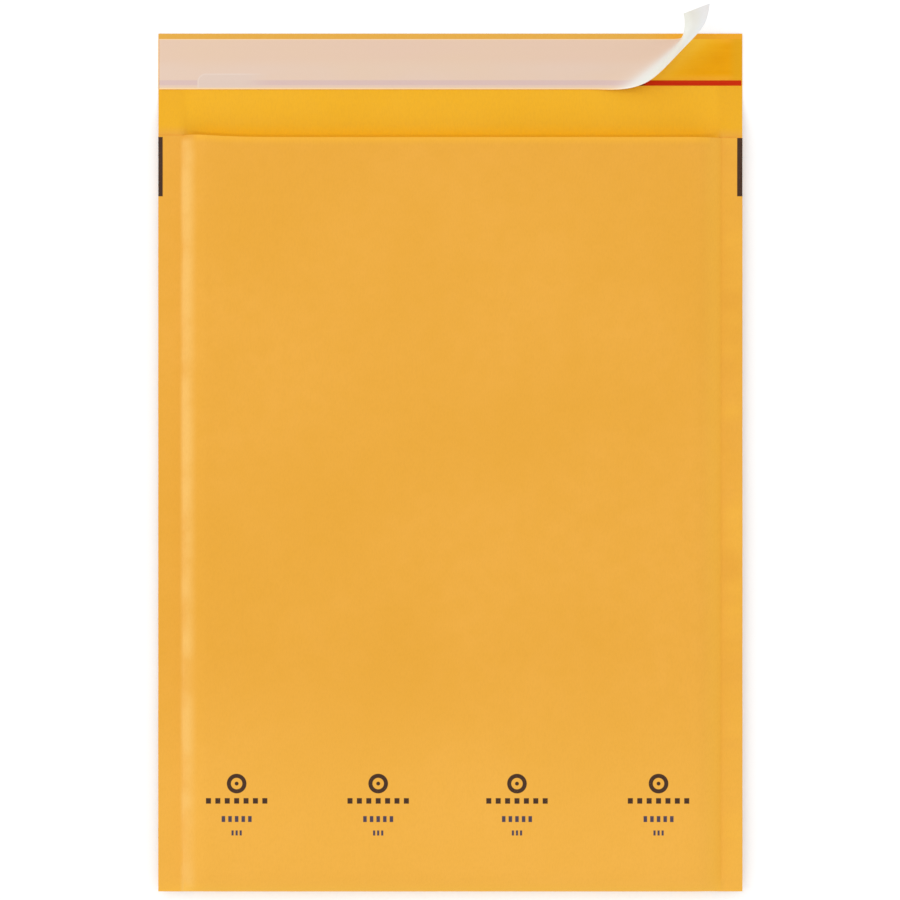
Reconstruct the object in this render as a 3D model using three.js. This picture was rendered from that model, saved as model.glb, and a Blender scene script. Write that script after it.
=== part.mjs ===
import * as THREE from 'three';

// A padded mailing envelope, empty, on its back with its flap open.
// Millimetres, +Z up, +Y toward the flap, origin on the table under the middle of the sheet.

// Sheet of paper
const overallWidth = 277;
const overallLength = 406.4;
const flapLength = 51;
const paperThickness = 0.35;

// Side seals and bottom fold
const leftSealWidth = 11.7;
const rightSealWidth = 10;
const sealThickness = 0.9;
const sideRise = 13;
const foldDepth = 12;

// Padding
const bodyThickness = 12;
const seamHeight = 4.5;
const liningThickness = 3.1;
const liningClearance = 0.35;
const liningSetBack = 1.5;
const liningFlattening = 0.42;
const liningEdgeHeight = 0.5;
const pocketEdgeHeight = 2.4;

// Closing strip on the flap
const stripThickness = 0.15;
const stripSideInset = 0.4;
const topMargin = 2.6;
const linerWidth = 23.9;
const flatBelowLiner = 1.4;
const adhesiveWidth = 19.3;
const tapeWidth = 2.5;
const tapeGap = 0.3;

// Peeled end of the release strip. Each of its edges runs smoothly toward these points,
// [along, across, up] from where that edge starts to lift, in widths of the strip.
const lowerLiftFromEnd = 76.5;
const upperLiftFromEnd = 38.5;
const lowerEdgeGuide = [
  [0, 0, 0], [0.33, 0, 0], [0.82, -0.03, 0.06], [1.3, 0.05, 0.29],
  [1.63, 0.33, 0.69], [1.97, 0.66, 1.15], [2.3, 0.95, 1.51], [2.3, 1.27, 1.86],
];
const upperEdgeGuide = [
  [0, 0, 0], [0.17, 0, 0], [0.31, 0, 0], [0.4, 0, 0.04],
  [0.44, 0.06, 0.1], [0.44, 0.16, 0.21], [0.44, 0.27, 0.33], [0.38, 0.37, 0.48],
];

// Derived places
const halfWidth = overallWidth / 2;
const bottomY = -overallLength / 2;
const topY = overallLength / 2;
const mouthY = topY - flapLength;
const leftCreaseX = -halfWidth + leftSealWidth;
const rightCreaseX = halfWidth - rightSealWidth;
const lowerSwell = seamHeight - sealThickness / 2;
const upperSwell = bodyThickness - seamHeight - sealThickness / 2;
const linerTopY = topY - topMargin;
const linerBottomY = linerTopY - linerWidth;
const flapFlatY = linerBottomY - flatBelowLiner;
const adhesiveBottomY = linerTopY - adhesiveWidth;
const tapeTopY = adhesiveBottomY - tapeGap;
const linerBaseZ = paperThickness + stripThickness;

function clamp01(value) {
  return Math.min(1, Math.max(0, value));
}

// How far the body has swelled, 0 at the side creases and 1 in the middle.
function sideShare(x) {
  const fromCrease = Math.min(x - leftCreaseX, rightCreaseX - x);
  return 1 - (1 - clamp01(fromCrease / sideRise)) ** 2;
}

// The same from the bottom fold, which is round; the inset makes the inner curves.
function foldShare(y, inset) {
  const inward = clamp01((y - bottomY - inset) / (foldDepth - inset));
  return Math.sqrt(1 - (1 - inward) ** 2);
}

function swelled(x, y, inset, halfGap) {
  const share = sideShare(x) * foldShare(y, inset);
  return {
    bottom: seamHeight - halfGap - share * lowerSwell,
    top: seamHeight + halfGap + share * upperSwell,
  };
}

// A sheet solid on a grid with three stacked layers; each cell says which layers it fills.
function layeredSolid(xLines, yLines, heightsAt, layersAt) {
  const positions = [];
  for (const y of yLines) {
    for (const x of xLines) {
      for (const z of heightsAt(x, y)) {
        positions.push(x, y, z);
      }
    }
  }
  const columns = xLines.length - 1;
  const rows = yLines.length - 1;
  const corner = (i, j, level) => (j * xLines.length + i) * 4 + level;
  const filled = (i, j, layer) => {
    if (i < 0 || j < 0 || i >= columns || j >= rows || layer < 0 || layer > 2) {
      return false;
    }
    return layersAt(xLines[i], xLines[i + 1], yLines[j], yLines[j + 1])[layer];
  };
  const faces = [];
  const quad = (a, b, c, d) => faces.push(a, b, c, a, c, d);
  for (let j = 0; j < rows; j += 1) {
    for (let i = 0; i < columns; i += 1) {
      for (let layer = 0; layer < 3; layer += 1) {
        if (filled(i, j, layer)) {
          addCell(i, j, layer, corner, filled, quad);
        }
      }
    }
  }
  return closedGeometry(positions, faces);
}

function addCell(i, j, layer, corner, filled, quad) {
  const low = (a, b) => corner(i + a, j + b, layer);
  const high = (a, b) => corner(i + a, j + b, layer + 1);
  if (!filled(i, j, layer + 1)) {
    quad(high(0, 0), high(1, 0), high(1, 1), high(0, 1));
  }
  if (!filled(i, j, layer - 1)) {
    quad(low(0, 0), low(0, 1), low(1, 1), low(1, 0));
  }
  if (!filled(i, j - 1, layer)) {
    quad(low(0, 0), low(1, 0), high(1, 0), high(0, 0));
  }
  if (!filled(i, j + 1, layer)) {
    quad(low(1, 1), low(0, 1), high(0, 1), high(1, 1));
  }
  if (!filled(i - 1, j, layer)) {
    quad(low(0, 1), low(0, 0), high(0, 0), high(0, 1));
  }
  if (!filled(i + 1, j, layer)) {
    quad(low(1, 0), low(1, 1), high(1, 1), high(1, 0));
  }
}

// Keeps only the points that some face uses.
function closedGeometry(positions, faces) {
  const used = new Map();
  const kept = [];
  const index = faces.map((corner) => {
    if (!used.has(corner)) {
      used.set(corner, used.size);
      kept.push(...positions.slice(corner * 3, corner * 3 + 3));
    }
    return used.get(corner);
  });
  const geometry = new THREE.BufferGeometry();
  geometry.setAttribute('position', new THREE.Float32BufferAttribute(kept, 3));
  geometry.setIndex(index);
  geometry.computeVertexNormals();
  return geometry;
}

function evenLines(from, to, steps) {
  const lines = Array.from({ length: steps }, (_, step) => from + (to - from) * step / steps);
  return [...lines, to];
}

// Grid lines across the swelling at a side, closer together by the crease.
function riseLines(startOffset, steps) {
  return evenLines(0, 1, steps).map((share) => {
    return startOffset + (sideRise - startOffset) * (0.55 * share + 0.45 * share ** 2);
  });
}

// Grid lines around the bottom fold, closer together where it is steep.
function foldLines(startOffset, steps) {
  return evenLines(0, Math.PI / 2, steps).map((angle) => {
    return bottomY + startOffset + (foldDepth - startOffset) * (1 - Math.cos(angle));
  });
}

function acrossLines(startOffset) {
  const rise = riseLines(startOffset, 6);
  const left = rise.map((offset) => leftCreaseX + offset);
  const right = rise.map((offset) => rightCreaseX - offset).reverse();
  const middle = evenLines(left[left.length - 1], right[0], 4).slice(1, -1);
  return [...left, ...middle, ...right];
}

// Back, front and flap in one folded sheet, fused along its side seals.
function envelopeHeights(x, y) {
  const outside = swelled(x, y, 0, sealThickness / 2);
  const inside = swelled(x, y, paperThickness, sealThickness / 2 - paperThickness);
  if (y <= mouthY) {
    return [outside.bottom, inside.bottom, inside.top, outside.top];
  }
  const settled = clamp01((y - mouthY) / (flapFlatY - mouthY));
  const bottom = outside.bottom * (1 - settled * settled * (3 - 2 * settled));
  return [bottom, bottom + paperThickness, outside.top, outside.top + paperThickness];
}

function envelopeLayers(fromX, toX, fromY, toY) {
  if (fromY >= mouthY) {
    return [true, false, false];
  }
  const inSeal = toX <= leftCreaseX || fromX >= rightCreaseX;
  const inFold = toY <= bottomY + paperThickness;
  const sealed = inSeal || inFold;
  return [true, sealed, true];
}

function outerEnvelope() {
  const xLines = [-halfWidth, ...acrossLines(0), halfWidth];
  const fold = [bottomY, ...foldLines(paperThickness, 8)];
  const body = evenLines(bottomY + foldDepth, mouthY, 6).slice(1);
  const flap = evenLines(mouthY, flapFlatY, 7).slice(1);
  return layeredSolid(xLines, [...fold, ...body, ...flap, topY], envelopeHeights, envelopeLayers);
}

// Bubble film that follows the inside of the paper and is squashed flat toward its edges.
function liningHeights(x, y) {
  const halfGap = sealThickness / 2 - paperThickness - liningClearance;
  const outside = swelled(x, y, paperThickness + liningClearance, halfGap);
  const room = outside.top - outside.bottom;
  const film = Math.min(liningThickness, liningFlattening * room);
  return [outside.bottom, outside.bottom + film, outside.top - film, outside.top];
}

function liningRoom(x, y) {
  const heights = liningHeights(x, y);
  return heights[3] - heights[0];
}

function liningLayers(fromX, toX, fromY, toY) {
  const rooms = [fromX, toX].flatMap((x) => [fromY, toY].map((y) => liningRoom(x, y)));
  const leastRoom = Math.min(...rooms);
  const present = leastRoom >= liningEdgeHeight;
  const fused = present && leastRoom < pocketEdgeHeight;
  return [present, fused, present];
}

function bubbleLining() {
  const startOffset = 0.9;
  const foldOffset = paperThickness + liningClearance + 0.1;
  const body = evenLines(bottomY + foldDepth, mouthY - liningSetBack, 6).slice(1);
  const yLines = [...foldLines(foldOffset, 8), ...body];
  return layeredSolid(acrossLines(startOffset), yLines, liningHeights, liningLayers);
}

function flatBand(fromY, toY) {
  const band = new THREE.BoxGeometry(overallWidth - 2 * stripSideInset, toY - fromY, stripThickness);
  band.translate(0, (fromY + toY) / 2, paperThickness + stripThickness / 2);
  return band;
}

// A smooth curve toward guide points, flat where its first guide points are flat.
function smoothEdge(guide, startX, startY, steps) {
  const places = guide.map(([along, across, up]) => {
    const place = new THREE.Vector3(along, across, up).multiplyScalar(linerWidth);
    return place.add(new THREE.Vector3(startX, startY, linerBaseZ));
  });
  const beyond = (end, before) => end.clone().multiplyScalar(2).sub(before);
  const last = places.length - 1;
  const all = [beyond(places[0], places[1]), ...places, beyond(places[last], places[last - 1])];
  return evenLines(0, last, steps).map((place) => {
    const first = Math.min(Math.floor(place), last - 1);
    const share = place - first;
    const weights = [
      (1 - share) ** 3,
      3 * share ** 3 - 6 * share ** 2 + 4,
      -3 * share ** 3 + 3 * share ** 2 + 3 * share + 1,
      share ** 3,
    ];
    const spot = new THREE.Vector3();
    weights.forEach((weight, k) => spot.addScaledVector(all[first + k], weight / 6));
    return spot;
  });
}

// Underside of the strip, column by column from its left end to its free end.
function linerColumns(steps) {
  const lower = smoothEdge(lowerEdgeGuide, halfWidth - lowerLiftFromEnd, linerBottomY, steps);
  const upper = smoothEdge(upperEdgeGuide, halfWidth - upperLiftFromEnd, linerTopY, steps);
  const leftEnd = -halfWidth + stripSideInset;
  lower.unshift(new THREE.Vector3(leftEnd, linerBottomY, linerBaseZ));
  upper.unshift(new THREE.Vector3(leftEnd, linerTopY, linerBaseZ));
  return lower.map((low, k) => ({ low, high: upper[k] }));
}

// The strip's upward direction at a column, square to its width and to its run.
function columnUp(columns, k, share) {
  const before = columns[Math.max(k - 1, 0)];
  const after = columns[Math.min(k + 1, columns.length - 1)];
  const run = after.low.clone().lerp(after.high, share).sub(before.low.clone().lerp(before.high, share));
  return run.cross(columns[k].high.clone().sub(columns[k].low)).normalize();
}

function releaseLiner() {
  const columns = linerColumns(28);
  const shares = evenLines(0, 1, 8);
  const positions = [];
  columns.forEach((column, k) => {
    for (const share of shares) {
      const spot = column.low.clone().lerp(column.high, share);
      const raised = spot.clone().addScaledVector(columnUp(columns, k, share), stripThickness);
      positions.push(...spot.toArray(), ...raised.toArray());
    }
  });
  const last = shares.length - 1;
  const end = columns.length - 1;
  const corner = (i, j, level) => (i * shares.length + j) * 2 + level;
  const faces = [];
  const quad = (a, b, c, d) => faces.push(a, b, c, a, c, d);
  for (let i = 0; i < end; i += 1) {
    for (let j = 0; j < last; j += 1) {
      quad(corner(i, j, 1), corner(i + 1, j, 1), corner(i + 1, j + 1, 1), corner(i, j + 1, 1));
      quad(corner(i, j, 0), corner(i, j + 1, 0), corner(i + 1, j + 1, 0), corner(i + 1, j, 0));
    }
    quad(corner(i, 0, 0), corner(i + 1, 0, 0), corner(i + 1, 0, 1), corner(i, 0, 1));
    quad(corner(i, last, 0), corner(i, last, 1), corner(i + 1, last, 1), corner(i + 1, last, 0));
  }
  for (let j = 0; j < last; j += 1) {
    quad(corner(0, j, 0), corner(0, j, 1), corner(0, j + 1, 1), corner(0, j + 1, 0));
    quad(corner(end, j, 0), corner(end, j + 1, 0), corner(end, j + 1, 1), corner(end, j, 1));
  }
  return closedGeometry(positions, faces);
}

const group = new THREE.Group();

function addPiece(name, geometry, colour, roughness) {
  const material = new THREE.MeshStandardMaterial({ color: colour, roughness, metalness: 0 });
  const piece = new THREE.Mesh(geometry, material);
  piece.name = name;
  group.add(piece);
}

addPiece('outer_envelope', outerEnvelope(), 0xedae42, 0.75);
addPiece('bubble_lining', bubbleLining(), 0xe9edf0, 0.35);
addPiece('adhesive_strip', flatBand(adhesiveBottomY, linerTopY), 0xe69c22, 0.2);
addPiece('tear_tape', flatBand(tapeTopY - tapeWidth, tapeTopY), 0xc82814, 0.4);
addPiece('release_liner', releaseLiner(), 0xe6cdb8, 0.3);

export default group;
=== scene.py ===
import math

import bmesh
import bpy
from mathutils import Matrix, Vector, noise

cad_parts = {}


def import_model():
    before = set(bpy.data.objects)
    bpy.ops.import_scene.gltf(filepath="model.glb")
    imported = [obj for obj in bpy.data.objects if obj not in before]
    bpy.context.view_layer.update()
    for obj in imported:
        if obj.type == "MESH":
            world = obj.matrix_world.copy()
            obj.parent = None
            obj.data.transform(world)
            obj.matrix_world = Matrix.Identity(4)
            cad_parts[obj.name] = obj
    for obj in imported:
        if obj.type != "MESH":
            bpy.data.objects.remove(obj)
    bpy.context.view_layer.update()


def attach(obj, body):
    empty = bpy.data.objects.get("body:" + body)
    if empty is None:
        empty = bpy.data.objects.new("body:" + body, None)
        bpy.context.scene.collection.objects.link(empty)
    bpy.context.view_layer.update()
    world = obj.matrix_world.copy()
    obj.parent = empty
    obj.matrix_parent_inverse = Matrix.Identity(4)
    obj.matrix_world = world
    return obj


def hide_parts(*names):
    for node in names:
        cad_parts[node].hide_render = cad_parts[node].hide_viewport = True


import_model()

mm = 0.001  # lengths below are in millimetres, the scene is in metres


# Helpers for objects and meshes

creaseAngle = math.radians(40.0)  # edges that turn by more than this stay sharp
noiseSpan = (0.2, 0.8)  # where most values of a noise lie


def clamp01(value):
    return min(1.0, max(0.0, value))


def smoothStep(value, start, end):
    share = clamp01((value - start) / (end - start))
    return share * share * (3 - 2 * share)


def evenLines(start, end, steps):
    return [start + (end - start) * step / steps for step in range(steps)] + [end]


def addObject(name, data):
    made = bpy.data.objects.new(name, data)
    bpy.context.scene.collection.objects.link(made)
    return made


def setSmooth(mesh):
    work = bmesh.new()
    work.from_mesh(mesh)
    for face in work.faces:
        face.smooth = True
    for edge in work.edges:
        if len(edge.link_faces) == 2:
            edge.smooth = edge.calc_face_angle(0.0) < creaseAngle
    work.to_mesh(mesh)
    work.free()


def makePiece(name, points, faces, material):
    mesh = bpy.data.meshes.new(name)
    mesh.from_pydata([(x * mm, y * mm, z * mm) for x, y, z in points], [], faces)
    mesh.validate()
    mesh.materials.append(material)
    setSmooth(mesh)
    return addObject(name, mesh)


# Keeps one number for each point or face, which materials and node groups read.
def record(piece, name, domain, values):
    piece.data.attributes.new(name, "FLOAT", domain).data.foreach_set("value", values)


# The mesh of a piece as its modifiers leave it.
def evaluatedMesh(piece):
    return bpy.data.meshes.new_from_object(piece.evaluated_get(bpy.context.evaluated_depsgraph_get()))


def linearColour(red, green, blue):
    def channel(value):
        share = value / 255
        return share / 12.92 if share <= 0.04045 else ((share + 0.055) / 1.055) ** 2.4
    return (channel(red), channel(green), channel(blue), 1.0)


# Short forms for adding and joining nodes.
class NodeTree:
    def __init__(self, tree):
        self.tree = tree

    def node(self, kind, **settings):
        made = self.tree.nodes.new(kind)
        for key, value in settings.items():
            setattr(made, key, value)
        return made

    def join(self, source, target):
        self.tree.links.new(source, target)

    # Joins an input to a socket, or sets it to a plain value.
    def feed(self, target, value):
        if isinstance(value, bpy.types.NodeSocket):
            self.join(value, target)
        else:
            target.default_value = value

    # Adds a node with the inputs named, and gives its outputs.
    def fed(self, kind, inputs, **settings):
        made = self.node(kind, **settings)
        for name, value in inputs.items():
            self.feed(made.inputs[name], value)
        return made.outputs

    def math(self, operation, first, second=0.0, third=0.0):
        made = self.node("ShaderNodeMath", operation=operation)
        for socket, value in zip(made.inputs, (first, second, third)):
            self.feed(socket, value)
        return made.outputs[0]

    def times(self, first, *others):
        for other in others:
            first = self.math("MULTIPLY", first, other)
        return first

    def distance(self, across, along):
        return self.math("SQRT", self.math("ADD", self.times(across, across), self.times(along, along)))

    def parts(self, vector):
        return self.fed("ShaderNodeSeparateXYZ", {"Vector": vector})


# One material's nodes. Its measures are the sockets that a look's tints, roughness and bump follow.
class FinishTree(NodeTree):
    def __init__(self, name, noises):
        self.material = bpy.data.materials.new(name)
        self.material.use_nodes = True
        super().__init__(self.material.node_tree)
        self.shader = self.tree.nodes["Principled BSDF"]
        coordinates = self.node("ShaderNodeTexCoord").outputs["Object"]
        scaled = self.fed("ShaderNodeVectorMath", {"Vector": coordinates, "Scale": 1 / mm}, operation="SCALE")
        self.place = scaled[0]  # in millimetres
        self.x, self.y, self.z = self.parts(self.place)
        self.measures = {"x": self.x, "y": self.y, "z": self.z}
        for noiseName, settings in noises.items():
            self.measures[noiseName] = self.noise(**settings)

    def noise(self, scale, detail=3.0, stretch=(1.0, 1.0, 1.0)):
        stretched = self.fed("ShaderNodeMapping", {"Vector": self.place, "Scale": stretch})[0]
        return self.fed("ShaderNodeTexNoise", {"Vector": stretched, "Scale": scale, "Detail": detail})["Fac"]

    def attribute(self, name):
        return self.node("ShaderNodeAttribute", attribute_name=name).outputs["Fac"]

    def ramp(self, value, start, full, bottom=0.0, top=1.0):
        inputs = {"Value": value, "From Min": start, "From Max": full, "To Min": bottom, "To Max": top}
        return self.fed("ShaderNodeMapRange", inputs, interpolation_type="SMOOTHSTEP")[0]

    # Colours are sockets, or red, green and blue from 0 to 255.
    def mix(self, share, first, second):
        made = self.node("ShaderNodeMix", data_type="RGBA")
        self.feed(made.inputs[0], share)
        for socket, colour in ((made.inputs[6], first), (made.inputs[7], second)):
            self.feed(socket, linearColour(*colour) if isinstance(colour, tuple) else colour)
        return made.outputs[2]

    # Lays tints over a colour. A tint is a colour, its full strength (a number or a measure's name)
    # and the measures that bring it in, each with its value where the tint starts and where it is full.
    def tinted(self, colour, tints):
        for tint, strength, *spans in tints:
            shares = [self.ramp(self.measures[name], start, full) for name, start, full in spans]
            share = self.times(self.measures.get(strength, strength), *shares)
            colour = self.mix(share, colour, tint)
        return colour

    def put(self, name, value):
        self.feed(self.shader.inputs[name], value)

    # Joins a colour to the shader, with the look's roughness and bump.
    def coat(self, colour, look):
        measure, low, high = look["roughness"]
        self.put("Base Color", colour)
        self.put("Roughness", self.ramp(self.measures[measure], *noiseSpan, low, high))
        self.put("Specular IOR Level", look["specular"])
        measure, distance, strength = look["bump"]
        inputs = {"Height": self.measures[measure], "Distance": distance * mm, "Strength": strength}
        self.put("Normal", self.fed("ShaderNodeBump", inputs)[0])


# Camera: straight above the envelope, top of the picture toward the flap

cameraSettings = {
    "height": 900.0,
    "acrossTable": 427.2,  # width of table that the square picture takes in
    "lookAtX": -0.17,
    "lookAtY": 5.64,
    "sensor": 36.0,
    "nearest": 10.0,
    "farthest": 50000.0,
}


def addCamera(settings):
    lens = bpy.data.cameras.new("overheadCamera")
    lens.sensor_width = settings["sensor"]
    lens.lens = settings["sensor"] * settings["height"] / settings["acrossTable"]
    lens.clip_start = settings["nearest"] * mm
    lens.clip_end = settings["farthest"] * mm
    camera = addObject("overheadCamera", lens)
    camera.location = (settings["lookAtX"] * mm, settings["lookAtY"] * mm, settings["height"] * mm)
    bpy.context.scene.camera = camera
    bpy.context.scene.view_settings.view_transform = "Standard"


addCamera(cameraSettings)
print("camera placed")


# Kraft paper envelope

paper = {
    "width": 277.0,
    "length": 406.4,
    "flap": 51.0,
    "thickness": 0.35,
    "leastThickness": 0.315,  # what the back and flap keep where they press on the table
    "leftSeal": 11.7,
    "rightSeal": 10.0,
    "sealThickness": 0.9,
    "sideRise": 13.0,
    "foldDepth": 12.0,
    "bodyThickness": 12.0,
    "seamHeight": 4.5,
    "flapSettling": 23.1,
    # steps of the mesh across the seals, sides and middle, and along the fold, body and flap
    "sealSteps": 4,
    "riseSteps": 13,
    "middleSteps": 74,
    "foldSteps": 12,
    "bodySteps": 120,
    "settlingSteps": 12,
    "flapSteps": 6,
}

# How the swelling draws the flat outline in, and how uneven the sheets are.
drape = {
    "leftClimb": {"rise": 1.9, "start": 70.0, "reach": 55.0},  # the mouth edge climbs toward its left end
    "rightClimb": {"rise": 0.7, "start": 112.0, "reach": 16.5},  # and a little toward its right end
    "climbFade": 14.0,
    "waist": 0.62,  # each side is drawn in from the flap's width
    "waistStart": 80.0,
    "waistFull": 125.0,
    "bottomRise": 0.5,  # and the bottom fold up
    "bottomReach": 40.0,
    "seed": 7.3,
    # each wave is made of noises, which have a size, a layer of their own and a weight
    "sag": 0.35,  # gentle unevenness of the front and back
    "sagNoises": ((62.0, 0.0, 1.0), (27.0, 3.0, 0.5)),
    "pucker": 0.28,  # small gathers beside the side seals
    "puckerNoises": ((9.0, 11.0, 1.0), (4.5, 17.0, 0.6)),
    "puckerFromCrease": 5.0,
    "puckerSpread": 6.0,
    "puckerStretch": 0.25,
    "backPucker": 0.5,  # the back's share of the gathers
    "sealRipple": 0.35,  # the free seal edges wander a little up and down
    "rippleNoises": ((38.0, 23.0, 1.0),),
    "rippleShift": 500.0,  # so that the two edges wander differently
}

halfWidth = paper["width"] / 2
bottomY = -paper["length"] / 2
topY = paper["length"] / 2
mouthY = topY - paper["flap"]
leftCreaseX = -halfWidth + paper["leftSeal"]
rightCreaseX = halfWidth - paper["rightSeal"]
middleX = (leftCreaseX + rightCreaseX) / 2
halfSeal = paper["sealThickness"] / 2
lowerSwell = paper["seamHeight"] - halfSeal
upperSwell = paper["bodyThickness"] - paper["seamHeight"] - halfSeal


def sideShare(x):
    fromCrease = min(x - leftCreaseX, rightCreaseX - x)
    return 1 - (1 - clamp01(fromCrease / paper["sideRise"])) ** 2


def foldShare(y, inset):
    inward = clamp01((y - bottomY - inset) / (paper["foldDepth"] - inset))
    return math.sqrt(1 - (1 - inward) ** 2)


def softNoise(x, y, noises):
    total = 0.0
    for size, layer, weight in noises:
        total += weight * noise.noise(Vector((x / size, y / size, layer + drape["seed"])))
    return total


# Heights that both faces of a sheet share: sag, gathers at the seams, ripple of the seals.
def unevenness(x, y):
    share = sideShare(x) * foldShare(y, 0.0)
    fromCrease = min(abs(x - leftCreaseX), abs(x - rightCreaseX))
    near = math.exp(-((fromCrease - drape["puckerFromCrease"]) / drape["puckerSpread"]) ** 2)
    pastCrease = clamp01(max(leftCreaseX - x, x - rightCreaseX) / paper["rightSeal"])
    sag = softNoise(x, y, drape["sagNoises"])
    pucker = softNoise(x * drape["puckerStretch"], y, drape["puckerNoises"])
    ripple = softNoise(0.0, y + drape["rippleShift"] * (x > 0), drape["rippleNoises"])
    return (sag * drape["sag"] * share * (1 - near), pucker * near * drape["pucker"],
            ripple * pastCrease * drape["sealRipple"])


def mouthClimb(x):
    climb = drape["leftClimb"] if x < 0 else drape["rightClimb"]
    return climb["rise"] * clamp01((abs(x) - climb["start"]) / climb["reach"]) ** 3


# How far a point of the flat sheet is drawn in by the swelling, across and along.
def drawnIn(x, y, calm):
    along = mouthClimb(x) * math.exp(-((y - mouthY) / drape["climbFade"]) ** 2)
    along += drape["bottomRise"] * smoothStep(bottomY + drape["bottomReach"] - y, 0.0, drape["bottomReach"])
    across = drape["waist"] * smoothStep(abs(x), drape["waistStart"], drape["waistFull"]) * calm
    return -math.copysign(across, x), along


# A point of the paper. Levels 0 and 1 are the outer and inner face of the back and flap,
# 2 and 3 the inner and outer face of the front.
def paperPoint(x, y, level):
    inFront = level > 1
    inset = paper["thickness"] if level in (1, 2) else 0.0
    offSeam = halfSeal - inset
    offSeam += sideShare(x) * foldShare(y, inset) * (upperSwell if inFront else lowerSwell)
    settle = smoothStep(y, mouthY, mouthY + paper["flapSettling"])
    calm = 1 - settle
    sag, pucker, ripple = unevenness(x, y)
    if inFront:
        z = paper["seamHeight"] + offSeam + sag + pucker + ripple
    else:
        z = paper["seamHeight"] - offSeam
        if y > mouthY:
            underside = paper["seamHeight"] - halfSeal - sideShare(x) * lowerSwell
            z = underside * calm + paper["thickness"] * level
        flatness = 1 - sideShare(x) * foldShare(y, 0.0)
        z += (pucker * drape["backPucker"] * flatness + ripple) * calm
    z = max(z, paper["leastThickness"] if level == 1 else 0.0)
    across, along = drawnIn(x, y, calm)
    return (x + across, y + along, z)


# Closed sheet solid; each cell of the grid fills some of three stacked layers.
def layeredMesh(xLines, yLines, pointAt, layersAt, sideAt):
    points, faces, sides, used = [], [], [], {}
    columns, rows = len(xLines) - 1, len(yLines) - 1
    layers = [[layersAt(xLines[i], xLines[i + 1], yLines[j], yLines[j + 1])
               for i in range(columns)] for j in range(rows)]

    def filled(i, j, layer):
        return 0 <= i < columns and 0 <= j < rows and 0 <= layer < 3 and layers[j][i][layer]

    def corner(i, j, level):
        key = (i, j, level)
        if key not in used:
            used[key] = len(points)
            points.append(pointAt(xLines[i], yLines[j], level))
        return used[key]

    def quad(side, *corners):
        faces.append([corner(*place) for place in corners])
        sides.append(side)

    def closeCell(i, j, layer):
        low, high = layer, layer + 1
        right, above = i + 1, j + 1
        if not filled(i, j, layer + 1):
            quad(sideAt(layer, 1), (i, j, high), (right, j, high), (right, above, high), (i, above, high))
        if not filled(i, j, layer - 1):
            quad(sideAt(layer, 0), (i, j, low), (i, above, low), (right, above, low), (right, j, low))
        if not filled(i, j - 1, layer):
            quad("edge", (i, j, low), (right, j, low), (right, j, high), (i, j, high))
        if not filled(i, above, layer):
            quad("edge", (right, above, low), (i, above, low), (i, above, high), (right, above, high))
        if not filled(i - 1, j, layer):
            quad("edge", (i, above, low), (i, j, low), (i, j, high), (i, above, high))
        if not filled(right, j, layer):
            quad("edge", (right, j, low), (right, above, low), (right, above, high), (right, j, high))

    for j in range(rows):
        for i in range(columns):
            for layer in range(3):
                if filled(i, j, layer):
                    closeCell(i, j, layer)
    return points, faces, sides


def paperLayers(fromX, toX, fromY, toY):
    if fromY >= mouthY:
        return (True, False, False)
    inSeal = toX <= leftCreaseX or fromX >= rightCreaseX
    inFold = toY <= bottomY + paper["thickness"]
    return (True, inSeal or inFold, True)


def paperSide(layer, top):
    return {(0, 1): "inside", (2, 0): "inside", (2, 1): "front"}.get((layer, top), "back")


def acrossLines(startOffset, riseSteps, middleSteps):
    rise = [startOffset + (paper["sideRise"] - startOffset) * share
            for share in evenLines(0.0, 1.0, riseSteps)]
    left = [leftCreaseX + offset for offset in rise]
    right = [rightCreaseX - offset for offset in reversed(rise)]
    return left + evenLines(left[-1], right[0], middleSteps)[1:-1] + right


def foldLines(startOffset, steps):
    reach = paper["foldDepth"] - startOffset
    return [bottomY + startOffset + reach * (1 - math.cos(angle))
            for angle in evenLines(0.0, math.pi / 2, steps)]


ink = {
    "softness": 0.12,
    "barBottom": 125.4,
    "barTop": 153.4,
    "leftBarWidth": 2.1,
    "rightBarWidth": 2.5,
    "groupCentres": (-100.1, -33.8, 31.2, 97.5),
    "ringY": -150.6,
    "ringRadius": 4.6,
    "ringHole": 0.58,  # as shares of the ring's radius
    "ringDot": 0.2,
    "blockWidth": 0.54,  # as a share of the pitch
    "rows": (  # each has an odd number of blocks
        {"ink": "darkInk", "y": -158.7, "blocks": 7, "pitch": 4.4, "height": 2.6},
        {"ink": "blueInk", "y": -167.2, "blocks": 5, "pitch": 3.1, "height": 2.8},
        {"ink": "blueInk", "y": -173.7, "blocks": 3, "pitch": 1.9, "height": 2.4},
    ),
}


def above(finish, value, limit):
    return finish.ramp(value, limit - ink["softness"], limit + ink["softness"])


def below(finish, value, limit):
    return finish.ramp(value, limit + ink["softness"], limit - ink["softness"])


def printedBars(finish):
    sideX = halfWidth - drape["waist"]
    leftBar = below(finish, finish.x, -sideX + ink["leftBarWidth"])
    rightBar = above(finish, finish.x, sideX - ink["rightBarWidth"])
    return finish.times(above(finish, finish.y, ink["barBottom"]), below(finish, finish.y, ink["barTop"]),
                        finish.math("MAXIMUM", leftBar, rightBar))


def printedRing(finish, across):
    radius = finish.distance(across, finish.math("SUBTRACT", finish.y, ink["ringY"]))
    disc = below(finish, radius, ink["ringRadius"])
    hole = above(finish, radius, ink["ringRadius"] * ink["ringHole"])
    dot = below(finish, radius, ink["ringRadius"] * ink["ringDot"])
    return finish.math("MAXIMUM", finish.times(disc, hole), dot)


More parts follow.
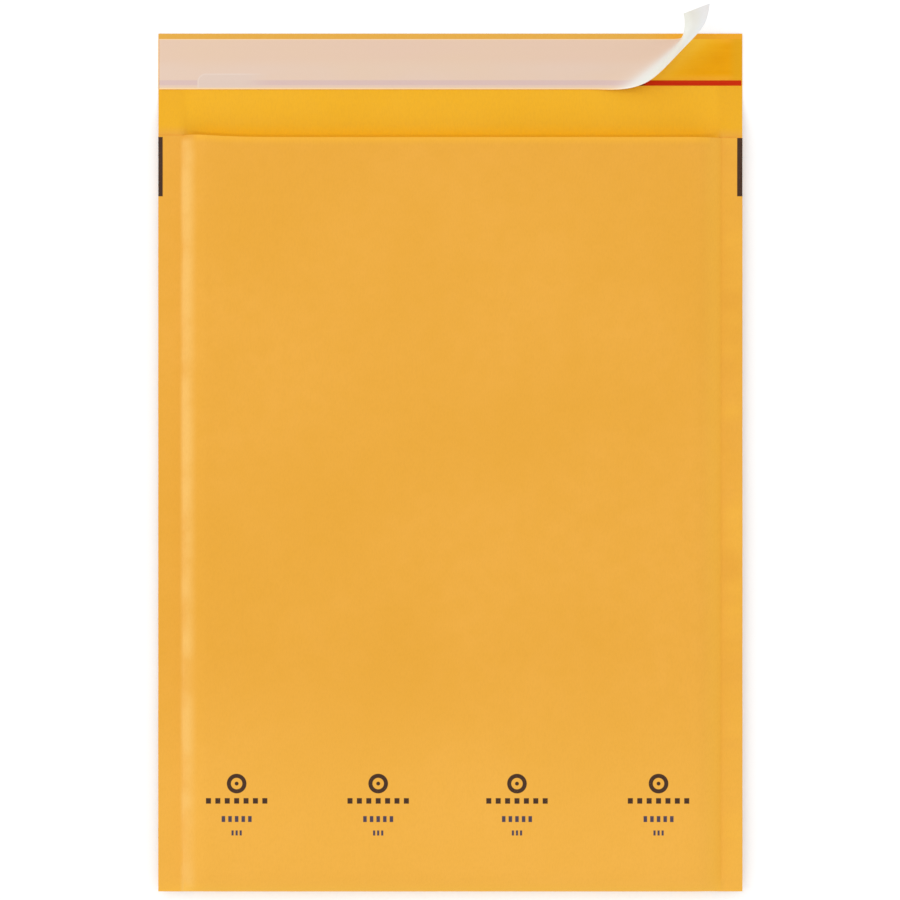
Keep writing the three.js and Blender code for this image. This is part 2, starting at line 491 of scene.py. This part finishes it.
def printedRow(finish, across, row):
    offMiddle = finish.math("ABSOLUTE", finish.math("SUBTRACT", finish.y, row["y"]))
    inRow = below(finish, offMiddle, row["height"] / 2)
    inWidth = below(finish, finish.math("ABSOLUTE", across), row["blocks"] * row["pitch"] / 2)
    offBlock = finish.math("PINGPONG", across, row["pitch"] / 2)
    return finish.times(inRow, inWidth, below(finish, offBlock, row["pitch"] * ink["blockWidth"] / 2))


# Printed bars at the mouth's two ends, and four plain printed groups near the bottom.
def inkMasks(finish):
    masks = {"darkInk": printedBars(finish), "blueInk": 0.0}
    for centre in ink["groupCentres"]:
        across = finish.math("SUBTRACT", finish.x, centre)
        masks["darkInk"] = finish.math("MAXIMUM", masks["darkInk"], printedRing(finish, across))
        for row in ink["rows"]:
            masks[row["ink"]] = finish.math("MAXIMUM", masks[row["ink"]], printedRow(finish, across, row))
    return masks


kraftLook = {
    "noises": {
        "cloudy": {"scale": 0.012, "detail": 2.0},
        "mottled": {"scale": 0.14, "detail": 4.0},
        "fibres": {"scale": 1.6, "stretch": (1.0, 0.35, 1.0)},
        "wear": {"scale": 0.05, "stretch": (0.3, 1.0, 1.0)},
        "specks": {"scale": 2.2, "detail": 2.0},
    },
    "wornInset": 1.3,  # from the left side crease
    "wornPatches": (0.3, 0.6, 0.4, 0.95),  # two values of the noise and the strengths there
    "inkPatches": (0.25, 0.4, 0.8, 0.97),
    "slopeSpan": (-12.0, -2.0),  # from the right side crease
    "foldSpan": (7.0, 1.0),  # from the bottom fold
    "slopingStrength": 0.65,
    "fibreRelief": 0.35,
    "mottledRelief": 0.65,
    "outside": (236, 170, 56),
    "outsideTints": (
        ((240, 174, 64), 1.0, ("cloudy", 0.3, 0.7)),
        ((233, 168, 54), 0.35, ("mottled", 0.25, 0.75)),
        # painted light: the front is lighter toward the bottom
        ((250, 188, 78), 0.45, ("y", -85.0, -175.0)),  # lighter toward the bottom
    ),
    "inside": (244, 180, 28),
    "insideTints": (
        ((247, 184, 36), 1.0, ("cloudy", 0.3, 0.7)),
        # painted light and shade just above the mouth: a deeper orange for the front edge's shadow,
        # brightened to offset the shade that the edge already casts there
        ((255, 183, 0), 1.0, ("pastMouth", 9.0, 1.5), ("offMiddle", 126.0, 112.0)),
        # painted shadow: a thin dark line where the front's edge stands over the inner face
        ((226, 154, 0), 0.5, ("pastMouth", 3.7, 2.3), ("offMiddle", 126.0, 121.0)),
        # over the seals the inner face is duller and runs into the front without a step
        ((238, 173, 28), 0.6, ("offMiddle", 124.0, 128.0)),
        ((236, 170, 58), 1.0, ("offMiddle", 124.0, 128.0), ("pastMouth", 6.0, -0.5)),
        # a duller strip beyond the liner, which turns orange toward the right
        ((231, 174, 72), 1.0, ("y", 200.3, 200.7)),
        ((246, 172, 34), 1.0, ("y", 200.3, 200.7), ("x", 85.0, 118.0)),
    ),
    "allTints": (
        # pale painted highlight along the left side crease, where its slope faces the light
        ((248, 198, 107), "worn", ("offCrease", -3.2, -0.9), ("offCrease", 6.8, 0.0), ("z", 4.6, 5.0),
         ("pastMouth", 0.0, -4.0)),
        # painted light that lifts the shade on the right side's slope and the bottom fold
        ((249, 188, 64), "sloping", ("z", 4.7, 5.4)),
        # the cut edge of the front catches the light
        ((254, 189, 50), 0.5, ("pastMouth", -4.0, -0.3), ("z", 9.0, 11.0)),
        ((205, 140, 40), 0.1, ("fibres", 0.35, 0.75)),
        ((50, 30, 28), "darkInk"),
        ((62, 58, 84), "blueInk"),
    ),
    "roughness": ("mottled", 0.62, 0.74),
    "specular": 0.22,
    "bump": ("relief", 0.05, 0.5),
}


# Painted light on the right side's slope and the bottom fold, which lifts their shade to the front's
# brightness.
def slopeLightMask(finish, look):
    slope = finish.ramp(finish.x, *[rightCreaseX + offset for offset in look["slopeSpan"]])
    fold = finish.ramp(finish.y, *[bottomY + offset for offset in look["foldSpan"]])
    return finish.times(finish.math("MAXIMUM", slope, fold), look["slopingStrength"])


def kraftFinish(look):
    finish = FinishTree("kraftPaper", look["noises"])
    measures = finish.measures
    measures["pastMouth"] = finish.attribute("pastMouth")
    measures["offMiddle"] = finish.math("ABSOLUTE", finish.math("SUBTRACT", finish.x, middleX))
    creaseHighlightX = leftCreaseX + drape["waist"] + look["wornInset"]
    measures["offCrease"] = finish.math("SUBTRACT", finish.x, creaseHighlightX)
    # the crease highlight is painted light, in patches that follow a noise
    measures["worn"] = finish.ramp(measures["wear"], *look["wornPatches"])
    measures["sloping"] = slopeLightMask(finish, look)
    measures["relief"] = finish.math("ADD", finish.times(measures["fibres"], look["fibreRelief"]),
                                     finish.times(measures["mottled"], look["mottledRelief"]))
    onFront = finish.attribute("frontFace")
    inkStrength = finish.ramp(measures["specks"], *look["inkPatches"])
    for name, mask in inkMasks(finish).items():
        measures[name] = finish.times(mask, onFront, inkStrength)
    outside = finish.tinted(look["outside"], look["outsideTints"])
    inside = finish.tinted(look["inside"], look["insideTints"])
    colour = finish.mix(finish.attribute("insideFace"), outside, inside)
    finish.coat(finish.tinted(colour, look["allTints"]), look)
    return finish.material


def makeEnvelope():
    settledY = mouthY + paper["flapSettling"]
    xLines = evenLines(-halfWidth, leftCreaseX, paper["sealSteps"])[:-1]
    xLines += acrossLines(0.0, paper["riseSteps"], paper["middleSteps"])
    xLines += evenLines(rightCreaseX, halfWidth, paper["sealSteps"])[1:]
    yLines = [bottomY] + foldLines(paper["thickness"], paper["foldSteps"])
    yLines += evenLines(bottomY + paper["foldDepth"], mouthY, paper["bodySteps"])[1:]
    yLines += evenLines(mouthY, settledY, paper["settlingSteps"])[1:]
    yLines += evenLines(settledY, topY, paper["flapSteps"])[1:]
    pastMouth = []  # distance of each point from the mouth edge, along the flat sheet

    def pointAt(x, y, level):
        pastMouth.append(y - mouthY)
        return paperPoint(x, y, level)

    points, faces, sides = layeredMesh(xLines, yLines, pointAt, paperLayers, paperSide)
    piece = makePiece("paperEnvelope", points, faces, kraftFinish(kraftLook))
    record(piece, "insideFace", "FACE", [float(side == "inside") for side in sides])
    record(piece, "frontFace", "FACE", [float(side == "front") for side in sides])
    record(piece, "pastMouth", "POINT", pastMouth)
    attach(piece, "root")
    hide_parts("outer_envelope")
    print("paper envelope made:", len(faces), "faces")


makeEnvelope()


# Bubble film lining, folded like the paper and squashed toward its edges

lining = {
    "thickness": 3.1,
    "clearance": 0.35,
    "setBack": 1.5,  # from the mouth edge
    "flattening": 0.42,  # the most that each side takes of the height inside the paper
    "edgeRoom": 1.3,
    "foldRoom": 1.2,
    "film": 0.12,
    "bubbleDiameter": 10.0,
    "bubblePitch": 11.4,
    "bubbleFullness": 0.93,  # share of the lining's thickness that a bubble fills
    "bareSide": 9.4,  # from a side crease to the middle of the first bubble
    "bareFold": 8.0,  # from the bottom fold to the middle of the first row
    "bareMouth": 0.4,  # from the last row's bubbles to the film's edge
    "riseSteps": 10,
    "middleSteps": 50,
    "foldSteps": 8,
    "bodySteps": 60,
    "bubbleSegments": 10,
    "bubbleRings": 6,
    "domePower": -0.22,  # how fast the dome's sides fill out, and how far at most
    "domeSpread": 1.5,
    "domeWeld": 0.0001,
}


def liningRoom(x, y):
    inset = paper["thickness"] + lining["clearance"]
    halfGap = halfSeal - inset
    share = sideShare(x) * foldShare(y, inset)
    low = paper["seamHeight"] - halfGap - share * lowerSwell
    high = paper["seamHeight"] + halfGap + share * upperSwell
    return low, high, min(lining["thickness"], lining["flattening"] * (high - low))


def filmRow(y, upper, xLines):
    row = []
    for x in xLines:
        low, high, room = liningRoom(x, y)
        row.append((x, y, high - room if upper else low + room, room))
    return row


# One web of flat film, folded at the bottom, with the room that bubbles have over each point.
def makeFilm(finish):
    xLines = acrossLines(lining["edgeRoom"], lining["riseSteps"], lining["middleSteps"])
    yLines = foldLines(paper["thickness"] + lining["clearance"] + lining["foldRoom"], lining["foldSteps"])
    yLines += evenLines(bottomY + paper["foldDepth"], mouthY - lining["setBack"], lining["bodySteps"])[1:]
    web = [filmRow(y, False, xLines) for y in reversed(yLines)]
    web += [filmRow(y, True, xLines) for y in yLines]
    points = [(x, y, z) for row in web for x, y, z, _ in row]
    wide = len(xLines)
    faces = [(j * wide + i, j * wide + i + 1, (j + 1) * wide + i + 1, (j + 1) * wide + i)
             for j in range(len(web) - 1) for i in range(wide - 1)]
    film = makePiece("liningFilm", points, faces, finish)
    record(film, "bubbleRoom", "POINT", [room * mm for row in web for _, _, _, room in row])
    return film


# Short forms for a group of Geometry Nodes.
class ShapeTree(NodeTree):
    def vector(self, x, y, z):
        return self.fed("ShaderNodeCombineXYZ", {"X": x, "Y": y, "Z": z})[0]

    def shape(self, kind, inputs):
        return self.fed(kind, inputs)[0]

    def position(self):
        return self.parts(self.node("GeometryNodeInputPosition").outputs[0])


# Points in rows, of which every second one is shifted by half a pitch.
def staggeredPoints(tree, given):
    pitch = given["Pitch"]
    rowStep = tree.times(pitch, math.sqrt(3) / 2)
    columnSteps = tree.math("FLOOR", tree.math("DIVIDE", given["Width"], pitch))
    rowSteps = tree.math("FLOOR", tree.math("DIVIDE", given["Length"], rowStep))
    rows = tree.math("ADD", rowSteps, 1.0)
    grid = tree.shape("GeometryNodeMeshGrid", {
        "Size X": tree.times(columnSteps, pitch),
        "Size Y": tree.times(rowSteps, rowStep),
        "Vertices X": tree.math("ADD", columnSteps, 1.0),
        "Vertices Y": rows,
    })
    rowNumber = tree.math("FLOORED_MODULO", tree.node("GeometryNodeInputIndex").outputs[0], rows)
    isOdd = tree.math("FLOORED_MODULO", rowNumber, 2.0)
    stagger = tree.times(tree.math("SUBTRACT", tree.times(isOdd, 0.5), 0.25), pitch)
    offset = tree.vector(tree.math("ADD", stagger, given["Middle X"]), given["Middle Y"], 0.0)
    moved = tree.shape("GeometryNodeSetPosition", {"Geometry": grid, "Offset": offset})
    return tree.shape("GeometryNodeMeshToPoints", {"Mesh": moved})


# A low dome of radius and height 1: the upper half of a small sphere, with fuller sides.
def unitDome(tree):
    ball = tree.shape("GeometryNodeMeshUVSphere", {
        "Segments": lining["bubbleSegments"],
        "Rings": lining["bubbleRings"],
        "Radius": 1.0,
    })
    x, y, z = tree.position()
    level = tree.math("MAXIMUM", tree.math("SUBTRACT", 1.0, tree.times(z, z)), 0.0)
    spread = tree.math("POWER", level, lining["domePower"])
    spread = tree.math("MINIMUM", spread, lining["domeSpread"])
    place = tree.vector(tree.times(x, spread), tree.times(y, spread), tree.math("MAXIMUM", z, 0.0))
    fuller = tree.shape("GeometryNodeSetPosition", {"Geometry": ball, "Position": place})
    merged = tree.shape("GeometryNodeMergeByDistance", {"Geometry": fuller, "Distance": lining["domeWeld"]})
    return tree.shape("GeometryNodeSetShadeSmooth", {"Geometry": merged})


# Every point stands on the film under it and rises by its share of the room there.
def standOnFilm(tree, given, bubbles):
    probeHeight = 5.0  # in metres, well above the film
    x, y, z = tree.position()
    room = tree.fed("GeometryNodeInputNamedAttribute", {"Name": "bubbleRoom"}, data_type="FLOAT")
    probe = tree.fed("GeometryNodeRaycast", {
        "Target Geometry": given["Film"],
        "Attribute": room["Attribute"],
        "Source Position": tree.vector(x, y, probeHeight),
        "Ray Direction": (0.0, 0.0, -1.0),
        "Ray Length": 2 * probeHeight,
    }, data_type="FLOAT")
    ground = tree.parts(probe["Hit Position"])
    rise = tree.times(z, probe["Attribute"], lining["bubbleFullness"], given["Outward"])
    place = tree.vector(x, y, tree.math("ADD", ground[2], rise))
    return tree.shape("GeometryNodeSetPosition", {"Geometry": bubbles, "Position": place})


# Domes in staggered rows over one side of the film, each as high as the room allows.
def bubbleGroup(finish):
    group = bpy.data.node_groups.new("bubbleRows", "GeometryNodeTree")
    group.interface.new_socket("Film", in_out="INPUT", socket_type="NodeSocketGeometry")
    for name in ("Pitch", "Diameter", "Width", "Length", "Middle X", "Middle Y", "Outward"):
        group.interface.new_socket(name, in_out="INPUT", socket_type="NodeSocketFloat")
    group.interface.new_socket("Bubbles", in_out="OUTPUT", socket_type="NodeSocketGeometry")
    tree = ShapeTree(group)
    given = tree.node("NodeGroupInput").outputs
    radius = tree.times(given["Diameter"], 0.5)
    copies = tree.shape("GeometryNodeInstanceOnPoints", {
        "Points": staggeredPoints(tree, given),
        "Instance": unitDome(tree),
        "Scale": tree.vector(radius, radius, 1.0),
    })
    bubbles = tree.shape("GeometryNodeRealizeInstances", {"Geometry": copies})
    standing = standOnFilm(tree, given, bubbles)
    painted = tree.shape("GeometryNodeSetMaterial", {"Geometry": standing, "Material": finish})
    tree.join(painted, tree.node("NodeGroupOutput").inputs[0])
    return group


# The bubbles of one side, grown over that side's half of the film.
def growBubbles(film, group, sizes, upper):
    half = len(film.data.vertices) // 2
    side = addObject("liningBubbles", film.data.copy())
    work = bmesh.new()
    work.from_mesh(side.data)
    work.verts.ensure_lookup_table()
    unwanted = [vertex for vertex in work.verts if (vertex.index >= half) != upper]
    bmesh.ops.delete(work, geom=unwanted, context="VERTS")
    work.to_mesh(side.data)
    work.free()
    grow = side.modifiers.new("bubbles", "NODES")
    grow.node_group = group
    given = dict(sizes, Outward=1.0 if upper else -1.0)
    for item in group.interface.items_tree:
        if item.name in given:
            grow[item.identifier] = given[item.name]
    shape = evaluatedMesh(side)
    side.modifiers.remove(grow)
    side.data = shape
    if not upper:  # a negative height turned these inside out
        shape.flip_normals()
    print("bubbles made:", len(shape.polygons), "faces")
    return side


# Gives an open sheet its wall, on the side that its faces look to.
def thicken(piece, thickness):
    wall = piece.modifiers.new("wall", "SOLIDIFY")
    wall.thickness = thickness * mm
    wall.offset = 1.0
    shape = evaluatedMesh(piece)
    piece.modifiers.remove(wall)
    piece.data = shape


# Makes one piece of several, which are deleted.
def joinPieces(name, pieces, material):
    whole = bpy.data.meshes.new(name)
    work = bmesh.new()
    for piece in pieces:
        work.from_mesh(piece.data)
        bpy.data.objects.remove(piece)
    work.to_mesh(whole)
    work.free()
    whole.materials.append(material)
    for face in whole.polygons:
        face.material_index = 0
        face.use_smooth = True
    return addObject(name, whole)


filmLook = {
    "noises": {
        "hazy": {"scale": 0.06},
        "sheen": {"scale": 0.3},
        "waves": {"scale": 0.12, "detail": 2.0},
    },
    "base": (240, 243, 245),
    "tints": (((232, 238, 241), 1.0, ("hazy", 0.3, 0.7)),),
    "roughness": ("sheen", 0.3, 0.45),
    "specular": 0.35,
    "bump": ("waves", 0.06, 0.3),
    "glow": (236, 226, 205),  # a little light comes through the paper and film from outside
    "glowStrength": 0.12,
}


def filmFinish(look):
    finish = FinishTree("bubbleFilm", look["noises"])
    finish.coat(finish.tinted(look["base"], look["tints"]), look)
    finish.put("Emission Color", linearColour(*look["glow"]))
    finish.put("Emission Strength", look["glowStrength"])
    return finish.material


def makeLining():
    finish = filmFinish(filmLook)
    film = makeFilm(finish)
    firstRowY = bottomY + lining["bareFold"]
    lastRowY = mouthY - lining["setBack"] - lining["bareMouth"] - lining["bubbleDiameter"] / 2
    sizes = {
        "Pitch": lining["bubblePitch"] * mm,
        "Diameter": lining["bubbleDiameter"] * mm,
        "Width": (rightCreaseX - leftCreaseX - 2 * lining["bareSide"]) * mm,
        "Length": (lastRowY - firstRowY) * mm,
        "Middle X": middleX * mm,
        "Middle Y": (firstRowY + lastRowY) / 2 * mm,
    }
    group = bubbleGroup(finish)
    bubbles = [growBubbles(film, group, sizes, upper) for upper in (False, True)]
    thicken(film, lining["film"])
    made = joinPieces("bubbleLining", [film] + bubbles, finish)
    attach(made, "root")
    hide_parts("bubble_lining")
    print("bubble lining made:", len(made.data.polygons), "faces")


makeLining()


# Adhesive, tear tape and release liner on the flap

closing = {
    "stripThickness": 0.15,
    "sideInset": 0.4,
    "topMargin": 2.6,
    "linerWidth": 23.9,
    "adhesiveWidth": 19.3,
    "tapeWidth": 2.5,
    "tapeGap": 0.3,
    "adhesiveUnevenness": 0.05,
    "tapeUnevenness": 0.02,
    "edgeHeight": 0.55,  # of a band's edges, as a share of its thickness
    "edgeSharpness": 8,
    "bandNoises": ((7.0, 31.0, 1.0),),
    "bandStretch": 20.0,  # what the noise takes a band's width for
    "lengthSteps": 120,
    "acrossSteps": 10,
    "lowerLiftFromEnd": 76.5,
    "upperLiftFromEnd": 38.5,
    # where each edge of the peeled end heads: along, across and up, in widths of the strip
    "lowerGuide": ((0, 0, 0), (0.33, 0, 0), (0.82, -0.03, 0.06), (1.3, 0.05, 0.29),
                   (1.63, 0.33, 0.69), (1.97, 0.66, 1.15), (2.3, 0.95, 1.51), (2.3, 1.27, 1.86)),
    "upperGuide": ((0, 0, 0), (0.17, 0, 0), (0.31, 0, 0), (0.4, 0, 0.04),
                   (0.44, 0.06, 0.1), (0.44, 0.16, 0.21), (0.44, 0.27, 0.33), (0.39, 0.4, 0.48)),
    "liftedStart": 0.1,  # heights between which the liner takes on its peeled colour
    "liftedFull": 3.0,
    "laidSteps": 60,
    "peeledSteps": 112,
    "linerAcrossSteps": 30,
}

linerTopY = topY - closing["topMargin"]
linerBottomY = linerTopY - closing["linerWidth"]
adhesiveBottomY = linerTopY - closing["adhesiveWidth"]
tapeTopY = adhesiveBottomY - closing["tapeGap"]
tapeBottomY = tapeTopY - closing["tapeWidth"]
linerBaseZ = paper["thickness"] + closing["stripThickness"]


# Faces of a thin closed strip. Its points come in rows from left to right, each row from the
# strip's upper edge to its lower edge, and each place has its underside before its top.
def stripFaces(rows, wide):
    last, far = wide - 1, rows - 1

    def quad(*corners):
        return tuple((i * wide + j) * 2 + level for i, j, level in corners)

    faces = []
    for i in range(far):
        for j in range(last):
            faces.append(quad((i, j, 1), (i, j + 1, 1), (i + 1, j + 1, 1), (i + 1, j, 1)))
            faces.append(quad((i, j, 0), (i + 1, j, 0), (i + 1, j + 1, 0), (i, j + 1, 0)))
        faces.append(quad((i, 0, 0), (i, 0, 1), (i + 1, 0, 1), (i + 1, 0, 0)))
        faces.append(quad((i, last, 0), (i + 1, last, 0), (i + 1, last, 1), (i, last, 1)))
    for j in range(last):
        faces.append(quad((0, j, 0), (0, j + 1, 0), (0, j + 1, 1), (0, j, 1)))
        faces.append(quad((far, j, 0), (far, j, 1), (far, j + 1, 1), (far, j + 1, 0)))
    return faces


# A thin band across the flap with a slightly rounded and uneven top.
def makeBand(name, bottom, top, material, unevenness):
    xLines = evenLines(-halfWidth + closing["sideInset"], halfWidth - closing["sideInset"],
                       closing["lengthSteps"])
    shares = [1 - share for share in evenLines(0.0, 1.0, closing["acrossSteps"])]
    edge = closing["edgeHeight"]
    points = []
    for x in xLines:
        for share in shares:
            y = bottom + (top - bottom) * share
            roll = 1 - abs(2 * share - 1) ** closing["edgeSharpness"]
            dip = min(unevenness * softNoise(x, share * closing["bandStretch"], closing["bandNoises"]), 0.0)
            height = closing["stripThickness"] * (edge + (1 - edge) * roll) + dip
            points += [(x, y, paper["thickness"]), (x, y, paper["thickness"] + height)]
    return makePiece(name, points, stripFaces(len(xLines), len(shares)), material)


adhesiveLook = {
    "noises": {"pooled": {"scale": 0.05}, "streaks": {"scale": 0.3, "stretch": (0.12, 1.0, 1.0)}},
    "base": (243, 168, 2),
    "tints": (
        ((238, 162, 0), 1.0, ("pooled", 0.35, 0.7)),
        ((251, 180, 16), 0.3, ("streaks", 0.3, 0.8)),
        ((246, 174, 46), 0.7, ("offMiddle", 6.5, 9.6)),  # thinner and duller toward its edges
        # painted light beside the peeled strip, which lifts the shade that the strip casts on the adhesive
        ((255, 193, 34), 0.75, ("fromStrip", 24.0, 3.0)),  # lighter beside the peeled strip
        ((255, 198, 56), 0.75, ("fromStrip", 12.0, 2.0)),
        ((232, 168, 24), 0.8, ("x", 131.0, 136.0)),  # duller again at the flap's right end
    ),
    "stripSlant": 1.1,  # the peeled strip's edge in the picture: x is the slant times y, plus the start
    "stripStart": -105.5,
    "roughness": ("streaks", 0.22, 0.34),
    "specular": 0.08,
    "bump": ("streaks", 0.1, 0.5),
}

tapeLook = {
    "noises": {"streaks": {"scale": 0.8, "stretch": (0.05, 1.0, 1.0)}},
    "base": (207, 46, 0),
    "tints": (
        ((196, 34, 0), 1.0, ("streaks", 0.3, 0.7)),
        # painted shadow under the liner's lifted edge
        ((60, 24, 12), 0.9, ("x", 93.5, 90.0)),  # dark where the liner has only just left the tape
    ),
    "roughness": ("streaks", 0.32, 0.45),
    "specular": 0.08,
    "bump": ("streaks", 0.04, 0.5),
}

linerLook = {
    "noises": {"cloudy": {"scale": 0.05, "stretch": (0.3, 1.0, 1.0)}},
    "patchLeft": -120.0,  # a milky patch with a rounded corner hides the tape
    "patchTop": 0.685,
    "patchCorner": 4.0,
    "laid": (229, 197, 174),
    "laidTints": (
        ((229, 201, 181), 1.0, ("acrossStrip", 0.35, 0.6)),
        ((230, 200, 170), 0.5, ("cloudy", 0.35, 0.75)),
        # over the tape
        ((217, 187, 182), 0.85, ("acrossStrip", 0.805, 0.83), ("acrossStrip", 0.93, 0.905)),
        # the milky patch, which fades out toward the right, and its paler rim
        ((225, 202, 187), 0.85, ("offCorner", 4.2, 3.7), ("x", -84.0, -100.0)),
        ((238, 218, 204), 0.45, ("offCorner", 3.1, 3.6), ("offCorner", 4.2, 3.7), ("x", -84.0, -100.0)),
        # light lines along the lower and upper edge
        ((255, 217, 152), 0.9, ("acrossStrip", 0.955, 0.985)),
        ((255, 217, 152), 0.9, ("acrossStrip", 0.03, 0.0)),
    ),
    "peeled": (234, 222, 212),
    "peeledTints": (
        # partly real whitening as the liner leaves the adhesive, partly painted light and shade by height:
        # cooler tints low down and greyer, cooler ones higher up offset the warm light that the paper throws
        # on it
        ((238, 240, 234), 1.0, ("z", 1.2, 6.5)),
        ((242, 248, 240), 1.0, ("z", 3.0, 9.0)),
        ((229, 233, 226), 1.0, ("z", 14.0, 23.0)),
        ((233, 238, 243), 1.0, ("z", 22.0, 38.0)),
        ((240, 240, 238), 0.3, ("cloudy", 0.3, 0.7)),
        ((252, 246, 236), 0.8, ("acrossStrip", 0.95, 0.98), ("z", 30.0, 15.0)),  # its lit lower edge
    ),
    "roughness": ("cloudy", 0.34, 0.46),
    "specular": 0.5,
    "bump": ("cloudy", 0.06, 0.4),
}


def adhesiveFinish(look):
    finish = FinishTree("clearAdhesive", look["noises"])
    middleY = (adhesiveBottomY + linerTopY) / 2
    stripX = finish.math("MULTIPLY_ADD", finish.y, look["stripSlant"], look["stripStart"])
    finish.measures["offMiddle"] = finish.math("ABSOLUTE", finish.math("SUBTRACT", finish.y, middleY))
    finish.measures["fromStrip"] = finish.math("SUBTRACT", finish.x, stripX)
    finish.coat(finish.tinted(look["base"], look["tints"]), look)
    return finish.material


def tapeFinish(look):
    finish = FinishTree("redTearTape", look["noises"])
    finish.coat(finish.tinted(look["base"], look["tints"]), look)
    return finish.material


def linerFinish(look):
    finish = FinishTree("releaseFilm", look["noises"])
    acrossStrip = finish.attribute("acrossStrip")
    inward = finish.math("SUBTRACT", look["patchLeft"] + look["patchCorner"], finish.x)
    fromTop = finish.times(finish.math("SUBTRACT", acrossStrip, look["patchTop"]), closing["linerWidth"])
    outward = finish.math("SUBTRACT", look["patchCorner"], fromTop)
    finish.measures["acrossStrip"] = acrossStrip
    finish.measures["offCorner"] = finish.distance(finish.math("MAXIMUM", inward, 0.0),
                                                   finish.math("MAXIMUM", outward, 0.0))
    laid = finish.tinted(look["laid"], look["laidTints"])
    peeled = finish.tinted(look["peeled"], look["peeledTints"])
    finish.coat(finish.mix(finish.attribute("lifted"), laid, peeled), look)
    return finish.material


# A smooth curve toward the guide points: a uniform cubic B-spline that starts on the first
# one and ends on the last.
def smoothEdge(guide, startX, startY):
    start = Vector((startX, startY, linerBaseZ))
    places = [start + Vector(place) * closing["linerWidth"] for place in guide]
    places = [2 * places[0] - places[1]] + places + [2 * places[-1] - places[-2]]
    curve = []
    for place in evenLines(0.0, len(guide) - 1.0, closing["peeledSteps"]):
        first = min(int(place), len(guide) - 2)
        share = place - first
        weights = ((1 - share) ** 3, 3 * share ** 3 - 6 * share ** 2 + 4,
                   -3 * share ** 3 + 3 * share ** 2 + 3 * share + 1, share ** 3)
        spot = Vector((0, 0, 0))
        for weight, guidePlace in zip(weights, places[first:first + 4]):
            spot += guidePlace * (weight / 6)
        curve.append(spot)
    return curve


# One edge of the liner: straight along the flap, then up the curl.
def linerEdge(guide, liftX, y):
    peeled = smoothEdge(guide, liftX, y)
    leftEnd = -halfWidth + closing["sideInset"]
    laid = evenLines(leftEnd, peeled[0].x, closing["laidSteps"])[:-1]
    return [Vector((x, y, linerBaseZ)) for x in laid] + peeled


def makeLiner():
    lower = linerEdge(closing["lowerGuide"], halfWidth - closing["lowerLiftFromEnd"], linerBottomY)
    upper = linerEdge(closing["upperGuide"], halfWidth - closing["upperLiftFromEnd"], linerTopY)
    shares = evenLines(0.0, 1.0, closing["linerAcrossSteps"])  # 0 at the upper edge, 1 at the lower edge
    last = len(lower) - 1
    points, lifted, acrossStrip = [], [], []
    for k in range(len(lower)):
        before, after = max(k - 1, 0), min(k + 1, last)
        for share in shares:
            low = upper[k].lerp(lower[k], share)
            run = upper[after].lerp(lower[after], share) - upper[before].lerp(lower[before], share)
            up = run.cross(upper[k] - lower[k]).normalized()
            points += [tuple(low), tuple(low + up * closing["stripThickness"])]
            height = low.z - linerBaseZ
            lifted += [smoothStep(height, closing["liftedStart"], closing["liftedFull"])] * 2
            acrossStrip += [share] * 2
    faces = stripFaces(len(lower), len(shares))
    liner = makePiece("releaseLiner", points, faces, linerFinish(linerLook))
    record(liner, "lifted", "POINT", lifted)
    record(liner, "acrossStrip", "POINT", acrossStrip)
    return liner


def makeClosing():
    adhesive = makeBand("adhesiveBand", adhesiveBottomY, linerTopY, adhesiveFinish(adhesiveLook),
                        closing["adhesiveUnevenness"])
    tape = makeBand("tearTape", tapeBottomY, tapeTopY, tapeFinish(tapeLook), closing["tapeUnevenness"])
    liner = makeLiner()
    for piece, node, slot in ((adhesive, "adhesive_strip", "adhesive"), (tape, "tear_tape", "tear_tape"),
                              (liner, "release_liner", "release_film")):
        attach(piece, "root")
        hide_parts(node)
    print("adhesive, tear tape and release liner made")


makeClosing()


# Floor and light, in metres

studio = {
    "floorSize": 24.0,
    "floorDrop": 0.0002,
    "floorColour": (0.93, 0.93, 0.93, 1.0),
    "floorRoughness": 0.9,
    "floorGlow": 0.14,
    "skyStrength": 0.9,
    "sideLamp": {"place": (-1.5, 0.5, 2.0), "size": 2.8, "power": 12.0},
}
white = (1.0, 1.0, 1.0, 1.0)


def addFloor(settings):
    finish = FinishTree("paleFloor", {})
    finish.put("Base Color", settings["floorColour"])
    finish.put("Roughness", settings["floorRoughness"])
    finish.put("Specular IOR Level", 0.0)
    finish.put("Emission Color", white)
    # the floor's glow is seen, and lights nothing
    seen = finish.node("ShaderNodeLightPath").outputs["Is Camera Ray"]
    finish.put("Emission Strength", finish.times(seen, settings["floorGlow"]))
    half = settings["floorSize"] / 2
    corners = [(-half, -half, 0), (half, -half, 0), (half, half, 0), (-half, half, 0)]
    mesh = bpy.data.meshes.new("floor")
    mesh.from_pydata(corners, [], [(0, 1, 2, 3)])
    mesh.materials.append(finish.material)
    floor = addObject("floor", mesh)
    floor.location.z = -settings["floorDrop"]


# An even sky that lights the table a little less than it shows.
def addSky(settings):
    world = bpy.data.worlds.new("softStudio")
    bpy.context.scene.world = world
    world.use_nodes = True
    sky = NodeTree(world.node_tree)
    background = world.node_tree.nodes["Background"]
    rays = sky.node("ShaderNodeLightPath").outputs
    seen = sky.math("MAXIMUM", rays["Is Camera Ray"], rays["Is Transmission Ray"])
    strength = {"Value": seen, "To Min": settings["skyStrength"], "To Max": 1.0}
    sky.feed(background.inputs["Color"], white)
    sky.feed(background.inputs["Strength"], sky.fed("ShaderNodeMapRange", strength)[0])


def addLamp(name, place, size, power):
    light = bpy.data.lights.new(name, "AREA")
    light.shape = "DISK"
    light.size = size
    light.energy = power
    lamp = addObject(name, light)
    lamp.location = place
    lamp.rotation_euler = (-Vector(place)).to_track_quat("-Z", "Y").to_euler()


addFloor(studio)
addSky(studio)
addLamp("sideLamp", **studio["sideLamp"])
print("floor and light placed")
